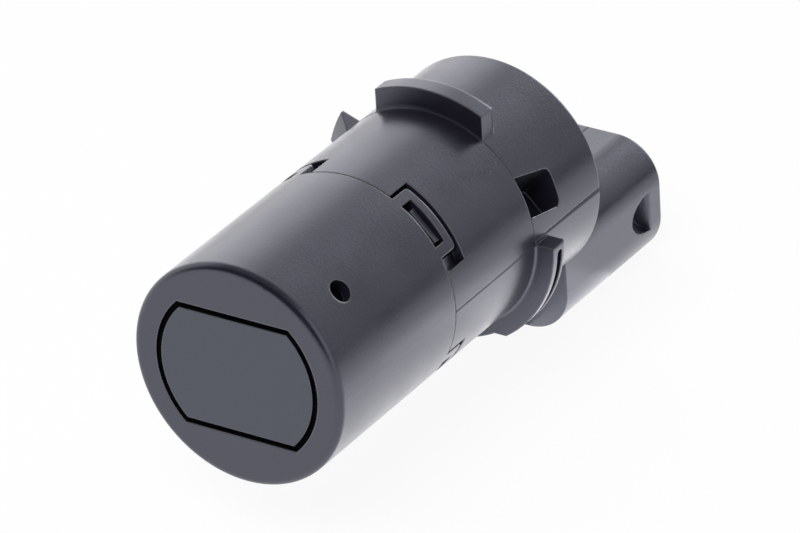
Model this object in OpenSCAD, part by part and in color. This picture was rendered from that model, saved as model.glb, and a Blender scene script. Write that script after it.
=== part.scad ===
// Ultrasonic parking sensor: a barrel with a sensing face, fixing fins and a plug socket.
// The barrel axis runs along Y and the face looks along -Y.
// The origin is on that axis, in the plane of the fins' front faces.

/* [Barrel] */
// Diameter of the barrel and of the front sleeve
barrel_d = 25; // [22:0.5:30]
// Distance from the sensing face to the fins' front plane
face_to_flange = 37.1; // [36:0.1:42]
// Distance from the fins' front plane to the rear rim
flange_to_rim = 12.9; // [12:0.1:16]
// How much the radius grows from the sleeve to the rear rim
rear_step = 0.17; // [0.1:0.01:0.4]
// Rounding of the sleeve's front edge
face_round = 0.8; // [0.4:0.1:1.4]
// Rounding of the rear rim
rim_round = 0.35; // [0.2:0.05:0.8]

/* [Sensing face] */
// Radius of the opening in the sleeve's face
aperture_r = 9.7; // [9.3:0.1:10.2]
// Distance from the axis to the opening's level flats
aperture_flat = 7.03; // [6.6:0.01:8]
// Width of the soft gap around the membrane
gap_w = 0.64; // [0.4:0.02:0.9]
// Depth of the gap's rubber below the face
gap_depth = 0.45; // [0.2:0.05:1]
// Thickness of the vibrating membrane
membrane_t = 0.8; // [0.5:0.1:1.2]

/* [Front sleeve] */
// Distance from the face to the sleeve's rear edge
sleeve_len = 21.5; // [21:0.1:22.5]
// Wall of the sleeve
sleeve_wall = 1.4; // [1.2:0.1:1.6]
// Thickness of the sleeve's face
face_wall = 2.6; // [2:0.1:3.2]
// Width of the seam between the sleeve and the housing
seam_w = 0.12; // [0.06:0.02:0.3]
// Diameter of the small hole through the sleeve's side
side_hole_d = 2.5; // [1.5:0.1:3]
// Distance from the face to the small hole's centre
side_hole_y = 6.56; // [5:0.01:9]

/* [Snap tabs] */
// Length of a tab behind the sleeve's edge
tab_len = 2.7; // [2.4:0.1:3.2]
// Width of a tab
tab_w = 7.8; // [7:0.1:8.6]
// Width of the slot in a tab
tab_slot_w = 5.4; // [4.6:0.1:5.8]
// Length of the slot in a tab
tab_slot_len = 1.68; // [1.4:0.02:1.8]
// Gap beside a tab on its open side
tab_gap_wide = 1.55; // [1:0.05:2]
// Gap beside a tab on its close side
tab_gap_close = 0.4; // [0.3:0.05:0.8]
// Gap behind a tab
tab_gap_rear = 0.6; // [0.4:0.05:1]

/* [Fins] */
// Thickness of the side fins and the bottom fin along the axis
fin_t = 2.4; // [2:0.1:3]
// Thickness of the top fin along the axis
top_fin_t = 2.75; // [2:0.05:3.2]
// Radius of the top fin
top_fin_r = 14.94; // [14:0.02:16]
// Reach of the top fin to the left of the axis
top_fin_left = 6.25; // [5:0.05:8]
// Reach of the top fin to the right of the axis
top_fin_right = 6.75; // [5:0.05:8]
// Radius of the side fins
side_fin_r = 14.75; // [14:0.05:16]
// Height below the axis of a side fin's upper end
side_fin_top = 0.25; // [0.2:0.05:1]
// Height below the axis of a side fin's lower end
side_fin_bottom = 12.2; // [10:0.1:12.4]
// Radius of the bottom fin
bottom_fin_r = 14; // [13.5:0.05:14.5]
// Width of the slot in a side fin's rim
rim_slot_w = 0.95; // [0.6:0.05:1.2]
// Depth of the slot in a side fin's rim
rim_slot_depth = 1.5; // [1:0.1:1.8]
// Concave fillet at the fins' front foot
fin_fillet = 0.3; // [0.2:0.05:0.6]

/* [Side catches] */
// Radius of the snap wing's tip
wing_r = 15.1; // [14:0.05:16]
// Angle of the wing's upper end, from +X towards +Z
wing_upper = 150; // [145:1:155]
// Angle of the wing's lower end, from +X towards +Z
wing_lower = 165; // [160:1:170]
// Length of the wing's ramp
wing_ramp = 2.16; // [1.5:0.02:2.6]
// Length of the bracket pocket along the axis
pocket_len = 5.3; // [4.6:0.05:5.6]
// Depth of the bracket pocket below the barrel, along the mould's slide
pocket_depth = 5.1; // [4:0.1:5.2]

/* [Plug socket] */
// Outer width of the socket
socket_w = 16; // [15:0.1:18]
// Outer height of the socket
socket_h = 13.75; // [13:0.05:15]
// Corner radius of the socket
socket_corner = 5; // [3:0.1:5.4]
// Height of the socket's top below the axis
socket_top = 5; // [4:0.1:6]
// Length of the socket behind the rear rim
socket_len = 19.55; // [16:0.05:24]
// Wall of the socket
socket_wall = 1.6; // [1.2:0.1:2]
// Rounding of the socket's rear edge
socket_round = 0.35; // [0.2:0.05:0.6]
// Thickness of the socket's floor behind the rear rim
socket_floor = 3.3; // [2.5:0.1:4]
// Distance between neighbouring terminals
terminal_pitch = 2.54; // [2.4:0.02:2.8]
// Side of a terminal's square section
terminal_t = 0.64; // [0.5:0.02:0.8]
// How far the terminals stand up from the socket's floor
terminal_reach = 9.5; // [7:0.1:11]

/* [Electronics] */
// Thickness of the circuit board
board_t = 1.2; // [1:0.1:1.6]
// Width of the circuit board
board_w = 15.8; // [14:0.1:16]
// Height of the board's upper face below the axis
board_drop = 2; // [1.6:0.1:2.6]

/* [Hidden] */
$fn = 96;

// A cut runs this far past the face that it opens
past = 1;
// Play between pieces that slide together
play = 0.05;

barrel_r = barrel_d / 2;
rear_r = barrel_r + rear_step;
rear_lip = 0.03;
rim_y = face_to_flange + flange_to_rim;
tab_angles = [45, 135, 225, 315];

// Sleeve and the housing's front neck
neck_play = 0.15;
sleeve_r = barrel_r - sleeve_wall;
neck_r = sleeve_r - neck_play;
neck_bore_r = 8.9;
neck_y = 11.9;
body_y = sleeve_len + seam_w;
tab_y = sleeve_len + tab_len;
tab_corner = 0.5;
tab_root = 4;
tab_relief = 0.1;
tab_seat_r = neck_r + tab_relief;
tab_ramp = [0.12, 1.25];
catch_play = 0.15;
catch_sink = 0.5;
catch_nose = 0.15;
catch_ends = [-2.3, 1.8];
catch_ramp = [[0, 0], [0.7, 0.3], [1, 0.6]];

// Seal groove in the neck
seal_y = 17.5;
seal_d = 1;
seal_groove_w = 1.3;
seal_groove_depth = 0.9;
seal_groove_r = neck_r - seal_groove_depth;

// Housing's inside
cavity_r = 10.3;
cavity_step_y = 27;
cavity_y = 28.4;
rear_wall = 2.5;
cavity_end = rim_y - rear_wall;

// Fixing fins
fin_y = face_to_flange;
fin_end = fin_y + fin_t;
fin_round = 0.5;
top_fin_round = 0.9;
fin_end_round = 1;
rim_slot_end = 1;
wing_y = fin_y + 1.27;
wing_tip = 0.44;
wing_back = 0.55;
pocket_angle = tab_angles[0];
pocket_draft = 3;
pocket_wall = 1.2;
pocket_corner = 0.7;
pocket_y = fin_y - play;
pocket_floor_r = barrel_r - pocket_depth;
pocket_low = [-6.6, -7.35];
pocket_high = [-2.92, -4.1];
groove_fine = 0.1;
groove_fine_z = -0.3;
groove_wide = 0.27;
groove_wide_z = 0.2;

// Plug socket
socket_z = -socket_top - socket_h / 2;
socket_sink = 0.2;
socket_y = rim_y - socket_sink;
socket_end = rim_y + socket_len;
socket_floor_y = rim_y + socket_floor;
latch_r = 2.35;
latch_tilt = 38;
latch_bar = 2.35;
latch_lean = 20;
latch_y = socket_end - latch_bar;
latch_z = -12.1;
latch_depth = latch_r / cos(latch_tilt);
key_skin = 0.6;
key_rib_x = socket_w / 2 - latch_depth - key_skin;
key_rib_h = 2 * latch_r + 2 * key_skin;
mould_line = 0.12;
mould_line_x = -0.6;

// Sensing unit
membrane_r = aperture_r - gap_w;
membrane_flat = aperture_flat - gap_w;
cup_len = 9.1;
cup_wall = 1.5;
cup_inner_r = membrane_r - cup_wall;
cup_inner_flat = membrane_flat - cup_wall;
piezo_r = 4.2;
piezo_t = 0.5;
piezo_y = membrane_t + piezo_t;
pad_y = 2;
pad_end = 8.6;
carrier_y = cup_len + 0.1;
carrier_end = neck_y - 0.1;
wire_r = 0.25;
wire_x = 2.2;
pin_t = 0.6;
pin_y = carrier_y + 0.4;
pin_end = 18;

// Board and what stands on it
board_top = -board_drop;
board_bottom = board_top - board_t;
board_y = 15;
board_end = 46.6;
rail_t = 0.9;
rail_reach = 0.5;
rail_y = 29;
board_mid_z = (board_top + board_bottom) / 2;
solder_z = pin_t / 2 + board_top;

// Terminals
terminal_xs = [-terminal_pitch, 0, terminal_pitch];
terminal_z = socket_z;
terminal_end = socket_floor_y + terminal_reach;
terminal_bend_y = rim_y + 1.3;
terminal_in_z = -7.5;
terminal_up_y = 45;
terminal_up_z = board_top + 1;
pool_y = 43.6;
pool_top = -6.4;

// Transformer on the board's upper face
core_y = 36.5;
core_w = 9;
core_depth = 4.6;
core_back = 1.5;
core_leg = 1.4;
core_mid_leg = 2.6;
core_half_h = 3.6;
bobbin_wall = 0.4;
bobbin_flange = 0.6;
bobbin_depth = 7.6;
winding_inset = 0.25;
bobbin_pin_x = 2.4;
bobbin_pin_y = 3.3;
bobbin_pin_r = 0.3;

// Small components: [x, y] places and sizes
chip_size = [5, 6, 1.4];
chip_y = 27.5;
chip_stand = 0.15;
lead_count = 4;
lead_pitch = 1.27;
lead_w = 0.4;
lead_t = 0.2;
lead_reach = 0.9;
storage_r = 2.5;
storage_h = 5.4;
storage_at = [-4.2, 25.5];
tuning_size = [4.8, 6, 4.2];
tuning_at = [4.1, 25.5];
tuning_round = 0.4;
oscillator_size = [3.2, 2.5, 0.9];
oscillator_at = [0, 20.6];
capacitor_size = [1.6, 0.8, 0.8];
capacitor_places = [for (row = [0:2], side = [-1, 1]) [side * 5.6, 19 + row * 1.6]];
resistor_size = [1.6, 0.8, 0.45];
resistor_places = [for (row = [0:3], side = [-1, 1]) [side * 5.4, 34 + row * 2]];
diode_size = [2.6, 1.6, 1];
diode_places = [[-5, 43.2], [5, 43.2]];

// Moves a shape that is measured from the sensing face into the part's frame
module from_face() {
    translate([0, -face_to_flange, 0]) children();
}

// Turns a shape about the barrel axis, from +X towards +Z
module at_angle(a) {
    rotate([0, -a, 0]) children();
}

// A rod along the barrel axis
module rod(r, y0, y1) {
    translate([0, y0, 0]) rotate([-90, 0, 0]) cylinder(r = r, h = y1 - y0);
}

// A ring along the barrel axis
module ring(r_out, r_in, y0, y1) {
    difference() {
        rod(r_out, y0, y1);
        rod(r_in, y0 - past, y1 + past);
    }
}

// A turned body: its profile's x is the radius and its y is the place along the axis
module turned() {
    rotate([-90, 0, 0]) rotate_extrude() children();
}

// Extrudes an outline in x and z along the barrel axis
module along(y0, y1) {
    translate([0, y1, 0]) rotate([90, 0, 0]) linear_extrude(y1 - y0) children();
}

// A box between two corners
module box(low, high) {
    translate(low) cube(high - low);
}

// A rectangle about the origin with round corners
module round_rect(w, h, r) {
    square([w - 2 * r, h], center = true);
    square([w, h - 2 * r], center = true);
    for (sx = [-1, 1], sy = [-1, 1]) {
        translate([sx * (w / 2 - r), sy * (h / 2 - r)]) circle(r);
    }
}

// A circle cut by two level flats
module flat_disc(r, flat) {
    intersection() {
        circle(r);
        square([3 * r, 2 * flat], center = true);
    }
}

// A block that lies on the barrel's side at +X, from the radius r0 to r1.
// Its outline's x runs along the axis and its y around the barrel.
module radial_block(r0, r1) {
    translate([r0, 0, 0]) rotate([90, 0, 90]) linear_extrude(r1 - r0) children();
}

// Sleeve: face, barrel wall and four snap tabs
module sleeve_profile() {
    translate([0, face_round]) square([barrel_r, sleeve_len - face_round]);
    square([barrel_r - face_round, sleeve_len]);
    translate([barrel_r - face_round, face_round]) circle(face_round);
}

module snap_tab() {
    length = tab_len + tab_root;
    intersection() {
        ring(barrel_r, sleeve_r + tab_relief, sleeve_len - tab_root, tab_y);
        difference() {
            radial_block(sleeve_r - past, barrel_r + past)
                translate([tab_y - length / 2, 0]) round_rect(length, tab_w, tab_corner);
            radial_block(sleeve_r - 2 * past, barrel_r + 2 * past)
                translate([sleeve_len, -tab_slot_w / 2]) square([tab_slot_len, tab_slot_w]);
        }
    }
}

module front_sleeve() {
    color("#53565e") from_face() {
        difference() {
            turned() sleeve_profile();
            rod(sleeve_r, face_wall, sleeve_len + past);
            along(-past, face_wall + past) flat_disc(aperture_r, aperture_flat);
            at_angle(tab_angles[0]) translate([sleeve_r - past, side_hole_y, 0])
                rotate([0, 90, 0]) cylinder(d = side_hole_d, h = sleeve_wall + 2 * past);
        }
        for (a = tab_angles) {
            at_angle(a) snap_tab();
        }
    }
}

// Sensing unit: aluminium cup, its soft collar and what is bonded inside it
module membrane_cup() {
    color("#5a5d65") from_face() difference() {
        along(0, cup_len) flat_disc(membrane_r, membrane_flat);
        along(membrane_t, cup_len + past) flat_disc(cup_inner_r, cup_inner_flat);
    }
}

module decoupling_ring() {
    color("#141416") from_face() difference() {
        union() {
            along(gap_depth, face_wall + play) flat_disc(aperture_r - play, aperture_flat - play);
            rod(sleeve_r - play, face_wall + play, cup_len);
        }
        along(-past, cup_len + past) flat_disc(membrane_r + play / 2, membrane_flat + play / 2);
    }
}

module piezo_disc() {
    color("#cfc7b4") from_face() rod(piezo_r, membrane_t, piezo_y);
}

module damping_pad() {
    color("#b9bcc0") from_face() difference() {
        along(pad_y, pad_end) flat_disc(cup_inner_r - play, cup_inner_flat - play);
        for (side = [-1, 1]) {
            translate([side * wire_x, 0, solder_z]) rod(wire_r + play, pad_y - past, pad_end + past);
        }
    }
}

module transducer_carrier() {
    hole = pin_t + 2 * play;
    color("#2b2c30") from_face() difference() {
        rod(sleeve_r - play, carrier_y, carrier_end);
        for (side = [-1, 1]) {
            translate([side * wire_x, 0, solder_z])
                along(carrier_y - past, carrier_end + past) square(hole, center = true);
        }
    }
}

module lead_wire(x) {
    color("#b06a3c") from_face() translate([x, 0, solder_z]) rod(wire_r, piezo_y, pin_y);
}

module signal_wire() {
    lead_wire(wire_x);
}

module ground_wire() {
    lead_wire(-wire_x);
}

module contact_pin(x) {
    color("#c9ccd0") from_face()
        translate([x, 0, solder_z]) along(pin_y, pin_end) square(pin_t, center = true);
}

module signal_pin() {
    contact_pin(wire_x);
}

module ground_pin() {
    contact_pin(-wire_x);
}

module seal_ring() {
    color("#1b1b1d") from_face() turned()
        translate([seal_groove_r + seal_d / 2 + play / 2, seal_y]) circle(d = seal_d);
}

// Main housing: barrel with neck, fins, wing, pocket and socket, moulded as one
module housing_profile() {
    translate([0, neck_y]) square([neck_r, rim_y - neck_y]);
    translate([0, body_y]) square([barrel_r, fin_y - body_y]);
    polygon([
        [0, fin_y],
        [barrel_r + rear_lip, fin_y],
        [rear_r, rim_y - rim_round],
        [rear_r - rim_round, rim_y - rim_round],
        [rear_r - rim_round, rim_y],
        [0, rim_y]
    ]);
    translate([rear_r - rim_round, rim_y - rim_round]) intersection() {
        circle(rim_round);
        square(rim_round);
    }
}

module cavity_profile() {
    polygon([
        [0, neck_y - past],
        [neck_bore_r, neck_y - past],
        [neck_bore_r, cavity_step_y],
        [cavity_r, cavity_y],
        [cavity_r, cavity_end],
        [0, cavity_end]
    ]);
}

module seal_groove() {
    ring(neck_r + past, seal_groove_r, seal_y - seal_groove_w / 2, seal_y + seal_groove_w / 2);
}

// A fin all round the barrel, with a round rear edge and a concave fillet at its front foot
module fin_ring(r, t, rear_round) {
    turned() {
        translate([cavity_r + past, fin_y]) square([r - cavity_r - past, t - rear_round]);
        translate([cavity_r + past, fin_y]) square([r - cavity_r - past - rear_round, t]);
        translate([r - rear_round, fin_y + t - rear_round]) circle(rear_round);
        difference() {
            translate([cavity_r + past, fin_y - fin_fillet])
                square([barrel_r - cavity_r - past + fin_fillet, fin_fillet]);
            translate([barrel_r + fin_fillet, fin_y - fin_fillet]) circle(fin_fillet);
        }
    }
}

// Outline of the top fin seen from above: its ends are round behind
module top_fin_outline() {
    w = top_fin_left + top_fin_right;
    round_y = fin_y + top_fin_t - fin_end_round;
    translate([-top_fin_left, fin_y - past]) square([w, top_fin_t - fin_end_round + past]);
    translate([fin_end_round - top_fin_left, fin_y]) square([w - 2 * fin_end_round, top_fin_t]);
    for (x = [fin_end_round - top_fin_left, top_fin_right - fin_end_round]) {
        translate([x, round_y]) circle(fin_end_round);
    }
}

module top_fin() {
    intersection() {
        fin_ring(top_fin_r, top_fin_t, top_fin_round);
        linear_extrude(top_fin_r) top_fin_outline();
    }
}

module bottom_fin() {
    intersection() {
        fin_ring(bottom_fin_r, fin_t, fin_round);
        box([-top_fin_right, fin_y - past, -bottom_fin_r], [top_fin_right, fin_end + past, 0]);
    }
}

// A side fin at +X, with a slot along its rim
module side_fin() {
    slot_y = (fin_y + fin_end - rim_slot_w) / 2;
    difference() {
        intersection() {
            fin_ring(side_fin_r, fin_t, fin_round);
            box([0, fin_y - past, -side_fin_bottom], [side_fin_r, fin_end + past, -side_fin_top]);
        }
        intersection() {
            ring(side_fin_r + past, side_fin_r - rim_slot_depth, slot_y, slot_y + rim_slot_w);
            box([0, slot_y - past, rim_slot_end - side_fin_bottom],
                [side_fin_r + past, fin_end, -side_fin_top - rim_slot_end]);
        }
        translate([side_fin_r - rim_slot_depth, slot_y + rim_slot_w / 2, -side_fin_top - rim_slot_end])
            rotate([0, 90, 0]) cylinder(d = rim_slot_w, h = rim_slot_depth + past);
    }
}

// Snap wing at -X: a ramp that rises rearwards to a narrow tip, and a steep rear face
module snap_wing() {
    tip_y = wing_y + wing_ramp;
    end_y = tip_y + wing_tip + wing_back;
    reach = 2 * wing_r;
    intersection() {
        turned() polygon([
            [cavity_r + past, wing_y],
            [barrel_r, wing_y],
            [wing_r, tip_y],
            [wing_r, tip_y + wing_tip],
            [barrel_r, end_y],
            [cavity_r + past, end_y]
        ]);
        along(fin_y, rim_y) polygon([
            [0, 0],
            [reach * cos(wing_upper), reach * sin(wing_upper)],
            [reach * cos(wing_lower), reach * sin(wing_lower)]
        ]);
    }
}

// Outline of the bracket pocket along the axis and around the barrel, with round rear corners
module pocket_outline(front, rear) {
    round_y = fin_y + pocket_len - pocket_corner;
    hull() {
        polygon([
            [pocket_y, front[0]],
            [pocket_y, front[1]],
            [round_y, rear[1]],
            [round_y, rear[0]]
        ]);
        for (z = [rear[0] + pocket_corner, rear[1] - pocket_corner]) {
            translate([round_y, z]) circle(pocket_corner, $fn = 32);
        }
    }
}

// Walls that close the pocket towards the inside
module pocket_walls() {
    low = pocket_low[1] - pocket_wall;
    high = pocket_high[0] + 1.5 * pocket_wall;
    intersection() {
        rod(barrel_r - pocket_wall, fin_y - pocket_wall, fin_y + pocket_len + pocket_wall);
        at_angle(pocket_angle) radial_block(pocket_floor_r - pocket_wall, barrel_r)
            translate([fin_y - pocket_wall, low]) square([pocket_len + 2 * pocket_wall, high - low]);
    }
}

// Pocket along the mould's slide; its upper wall has a draft, so each outline runs past the other's wall
module pocket() {
    high = [for (z = pocket_high) z + 2 * past];
    low = [for (z = pocket_low) z - 3 * past];
    intersection() {
        at_angle(pocket_angle) radial_block(pocket_floor_r, rear_r + past)
            pocket_outline([pocket_low[0], high[0]], [pocket_low[1], high[1]]);
        at_angle(pocket_angle + pocket_draft) radial_block(0, rear_r + 2 * past)
            pocket_outline([low[0], pocket_high[0]], [low[1], pocket_high[1]]);
    }
}

// Grooves where the mould's halves meet, on both sides
module parting_grooves() {
    for (side = [-1, 1]) {
        translate([side * barrel_r, body_y - past, groove_fine_z]) rotate([-90, 0, 0])
            cylinder(d = groove_fine * 2, h = fin_y - body_y + past, $fn = 4);
        translate([side * rear_r, fin_y, groove_wide_z]) rotate([-90, 0, 0])
            cylinder(d = groove_wide * 2, h = flange_to_rim + past, $fn = 4);
    }
}

// A recess that takes one snap tab
module tab_recess() {
    low = -tab_w / 2 - tab_gap_wide;
    high = tab_w / 2 + tab_gap_close;
    intersection() {
        ring(barrel_r + past, tab_seat_r, body_y - past, tab_y + tab_gap_rear);
        radial_block(neck_r - past, barrel_r + past)
            translate([body_y - past, low]) square([tab_len + tab_gap_rear + past - seam_w, high - low]);
    }
}

// A ramp in the wide end of a recess, falling from the seam to the recess's rear wall
module recess_ramp() {
    end_y = tab_y + tab_gap_rear + catch_play;
    low = -tab_w / 2 - tab_gap_wide - catch_play;
    high = -tab_w / 2 - catch_play;
    intersection() {
        turned() polygon([
            [neck_r - catch_play, body_y + play],
            [barrel_r - tab_ramp[0], body_y + play],
            [barrel_r - tab_ramp[1], end_y],
            [neck_r - catch_play, end_y]
        ]);
        radial_block(neck_r - past, barrel_r)
            translate([body_y - past, low]) square([end_y - body_y + 2 * past, high - low]);
    }
}

// A ramped bar that snaps into a tab's slot
module tab_catch() {
    low_y = sleeve_len + catch_play;
    high_y = sleeve_len + tab_slot_len - catch_play;
    top_r = barrel_r - catch_sink;
    translate([0, 0, catch_ends[0]]) linear_extrude(catch_ends[1] - catch_ends[0]) polygon(concat(
        [[neck_r - past, low_y]],
        [for (step = catch_ramp) [neck_r + step[0] * (top_r - neck_r), low_y + step[1]]],
        [[top_r, high_y - catch_nose], [top_r - catch_nose, high_y], [neck_r - past, high_y]]
    ));
}

// Quarter of a disc, from which the socket's rear edge is swept
module edge_quarter() {
    intersection() {
        circle(socket_round);
        square(socket_round);
    }
}

// Round along the socket's rear edge: one side, the top and the bottom, and two corners
module edge_sweep() {
    flat_x = socket_w / 2 - socket_corner;
    flat_z = socket_h / 2 - socket_corner;
    round_y = socket_end - socket_round;
    translate([socket_w / 2 - socket_round, round_y, -flat_z]) linear_extrude(2 * flat_z) edge_quarter();
    for (end = [0, 1]) {
        mirror([0, 0, end]) {
            translate([-flat_x, round_y, socket_h / 2 - socket_round])
                rotate([90, 0, 90]) linear_extrude(2 * flat_x) edge_quarter();
            translate([flat_x, round_y, flat_z]) rotate([-90, 0, 0]) rotate_extrude(angle = -90)
                translate([socket_corner - socket_round, 0]) edge_quarter();
        }
    }
}

// Socket wall with a round rear edge
module socket_shell() {
    slim = 2 * socket_round;
    translate([0, 0, socket_z]) {
        along(socket_y, socket_end - socket_round) round_rect(socket_w, socket_h, socket_corner);
        along(socket_y, socket_end)
            round_rect(socket_w - slim, socket_h - slim, socket_corner - socket_round);
        edge_sweep();
        mirror([1, 0, 0]) edge_sweep();
    }
}

// Hollow for the plug, with a key rib along one side that backs the latch scoop
module socket_hollow() {
    difference() {
        translate([0, 0, socket_z]) along(socket_floor_y, socket_end + past)
            round_rect(socket_w - 2 * socket_wall, socket_h - 2 * socket_wall, socket_corner - socket_wall);
        translate([key_rib_x, socket_floor_y - past, latch_z - key_rib_h / 2])
            cube([socket_w / 2 - key_rib_x, socket_len, key_rib_h]);
    }
}

// Scoop for the plug's latch: it slants in from the front to a leaning rear wall
module latch_scoop() {
    reach = socket_w / 4;
    translate([socket_w / 2, latch_y, latch_z]) intersection() {
        rotate([0, 90, latch_tilt - 90]) cylinder(r = latch_r, h = 4 * reach, center = true);
        rotate([0, 0, latch_lean]) box([-2 * reach, -3 * reach, -reach], [2 * reach, 0, reach]);
    }
}

// Fine line along the socket's top where the mould's slides meet
module mould_line() {
    translate([mould_line_x, rim_y - play, -socket_top]) rotate([-90, 0, 0])
        cylinder(d = 2 * mould_line, h = socket_len + past, $fn = 4);
}

// Rails that hold the board's edges
module board_rails() {
    edge = board_w / 2 - rail_reach;
    intersection() {
        rod(cavity_r + past, rail_y, cavity_end + past);
        for (side = [-1, 1]) {
            x = side * (edge + cavity_r) / 2;
            for (z = [board_top + play + rail_t / 2, board_bottom - play - rail_t / 2]) {
                translate([x, (rail_y + cavity_end) / 2, z])
                    cube([cavity_r - edge, cavity_end - rail_y, rail_t], center = true);
            }
        }
    }
}

module main_housing() {
    color("#4d5058") from_face() difference() {
        union() {
            difference() {
                union() {
                    turned() housing_profile();
                    top_fin();
                    bottom_fin();
                    side_fin();
                    mirror([1, 0, 0]) side_fin();
                    snap_wing();
                    socket_shell();
                }
                turned() cavity_profile();
                for (a = tab_angles) {
                    at_angle(a) tab_recess();
                }
            }
            pocket_walls();
            board_rails();
            for (a = tab_angles) {
                at_angle(a) tab_catch();
                at_angle(a) recess_ramp();
            }
        }
        seal_groove();
        pocket();
        parting_grooves();
        socket_hollow();
        latch_scoop();
        mould_line();
        for (x = terminal_xs) {
            terminal_form(x, terminal_t + 2 * play);
        }
    }
}

// Circuit board and its components
module circuit_board() {
    hole = terminal_t + 2 * play;
    color("#2f5a3c") from_face() difference() {
        box([-board_w / 2, board_y, board_bottom], [board_w / 2, board_end, board_top]);
        for (x = terminal_xs) {
            translate([x, terminal_up_y, board_mid_z]) cube([hole, hole, board_t + past], center = true);
        }
    }
}

// Half of the ferrite core: a back plate and three legs
module core_half() {
    box([-core_w / 2, -core_depth / 2, 0], [core_w / 2, core_depth / 2, core_back]);
    box([-core_mid_leg / 2, -core_depth / 2, 0], [core_mid_leg / 2, core_depth / 2, core_half_h]);
    for (side = [-1, 1]) {
        translate([side * (core_w - core_leg) / 2, 0, core_half_h / 2])
            cube([core_leg, core_depth, core_half_h], center = true);
    }
}

module core_lower() {
    color("#3a3a3d") from_face() translate([0, core_y, board_top]) core_half();
}

module core_upper() {
    color("#3a3a3d") from_face()
        translate([0, core_y, board_top + 2 * core_half_h]) mirror([0, 0, 1]) core_half();
}

// Outline of the core's window seen from above, grown by a margin
module core_leg_outline(margin) {
    square([core_mid_leg + 2 * margin, core_depth + 2 * margin], center = true);
}

module transformer_bobbin() {
    window_w = core_w - 2 * core_leg - 4 * play;
    low = board_top + core_back + play;
    window_h = 2 * (core_half_h - core_back - play);
    color("#20242a") from_face() translate([0, core_y, low]) difference() {
        union() {
            linear_extrude(window_h) core_leg_outline(play + bobbin_wall);
            for (z = [0, window_h - bobbin_flange]) {
                translate([0, 0, z]) linear_extrude(bobbin_flange)
                    square([window_w, bobbin_depth], center = true);
            }
        }
        translate([0, 0, -past]) linear_extrude(window_h + 2 * past) core_leg_outline(play);
    }
}

module transformer_winding() {
    window_w = core_w - 2 * core_leg - 4 * play;
    low = board_top + core_back + bobbin_flange + 2 * play;
    height = 2 * (core_half_h - core_back - bobbin_flange - 2 * play);
    color("#a5562c") from_face() translate([0, core_y, low]) linear_extrude(height) difference() {
        round_rect(window_w - 2 * winding_inset, bobbin_depth - 2 * winding_inset, winding_inset);
        core_leg_outline(2 * play + bobbin_wall);
    }
}

module transformer_pins() {
    height = core_back + play;
    color("#c9ccd0") from_face() for (sx = [-1, 1], sy = [-1, 1]) {
        translate([sx * bobbin_pin_x, core_y + sy * bobbin_pin_y, board_top])
            cylinder(r = bobbin_pin_r, h = height);
    }
}

// Control chip under the board, with its leads
module control_chip() {
    color("#1c1d20") from_face()
        translate([-chip_size.x / 2, chip_y - chip_size.y / 2, board_bottom - chip_stand - chip_size.z])
            cube(chip_size);
}

// A bent lead beside the chip: from its flank down to the board
module chip_lead() {
    half = chip_size.z / 2 + chip_stand;
    box([0, -lead_w / 2, -half - lead_t / 2], [lead_reach / 2, lead_w / 2, -half + lead_t / 2]);
    box([lead_reach / 2 - lead_t, -lead_w / 2, -half - lead_t / 2], [lead_reach / 2, lead_w / 2, 0]);
    box([lead_reach / 2 - lead_t, -lead_w / 2, -lead_t], [lead_reach, lead_w / 2, 0]);
}

module chip_leads() {
    color("#c9ccd0") from_face() for (side = [0, 1], i = [0:lead_count - 1]) {
        translate([0, chip_y + (i - (lead_count - 1) / 2) * lead_pitch, board_bottom])
            mirror([side, 0, 0]) translate([chip_size.x / 2, 0, 0]) chip_lead();
    }
}

module storage_capacitor() {
    color("#26292e") from_face()
        translate([storage_at.x, storage_at.y, board_top]) cylinder(r = storage_r, h = storage_h);
}

module tuning_capacitor() {
    color("#8a2f24") from_face() translate([tuning_at.x, tuning_at.y, board_top])
        linear_extrude(tuning_size.z) round_rect(tuning_size.x, tuning_size.y, tuning_round);
}

// Small parts of one size at several places on the board's upper or lower face
module chips_above(size, places) {
    for (at = places) {
        translate([at.x, at.y, board_top + size.z / 2]) cube(size, center = true);
    }
}

module chips_below(size, places) {
    for (at = places) {
        translate([at.x, at.y, board_bottom - size.z / 2]) cube(size, center = true);
    }
}

module ceramic_capacitors() {
    color("#9a7a55") from_face() chips_below(capacitor_size, capacitor_places);
}

module resistors() {
    color("#1a1a1c") from_face() chips_below(resistor_size, resistor_places);
}

module oscillator() {
    color("#b8babd") from_face() chips_above(oscillator_size, [oscillator_at]);
}

module diodes() {
    color("#232326") from_face() chips_above(diode_size, diode_places);
}

// Terminals: from the socket, up inside its floor and on to the board
module terminal_path(t) {
    h = t / 2;
    polygon([
        [terminal_end, terminal_z - h],
        [terminal_end, terminal_z + h],
        [terminal_bend_y + h, terminal_z + h],
        [terminal_bend_y + h, terminal_in_z + h],
        [terminal_up_y + h, terminal_in_z + h],
        [terminal_up_y + h, terminal_up_z],
        [terminal_up_y - h, terminal_up_z],
        [terminal_up_y - h, terminal_in_z - h],
        [terminal_bend_y - h, terminal_in_z - h],
        [terminal_bend_y - h, terminal_z - h]
    ]);
}

module terminal_form(x, t) {
    translate([x - t / 2, 0, 0]) rotate([90, 0, 90]) linear_extrude(t) terminal_path(t);
}

module terminal(x) {
    color("#d2c9a8") from_face() terminal_form(x, terminal_t);
}

module supply_terminal() {
    terminal(terminal_xs[0]);
}

module data_terminal() {
    terminal(terminal_xs[1]);
}

module earth_terminal() {
    terminal(terminal_xs[2]);
}

// Sealing resin round the terminals' inner ends
module potting_pool() {
    color("#33363b") from_face() difference() {
        intersection() {
            rod(cavity_r - play, pool_y, cavity_end - play);
            box([-cavity_r, pool_y, -cavity_r], [cavity_r, cavity_end, pool_top]);
        }
        for (x = terminal_xs) {
            terminal_form(x, terminal_t + 2 * play);
        }
    }
}

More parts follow.
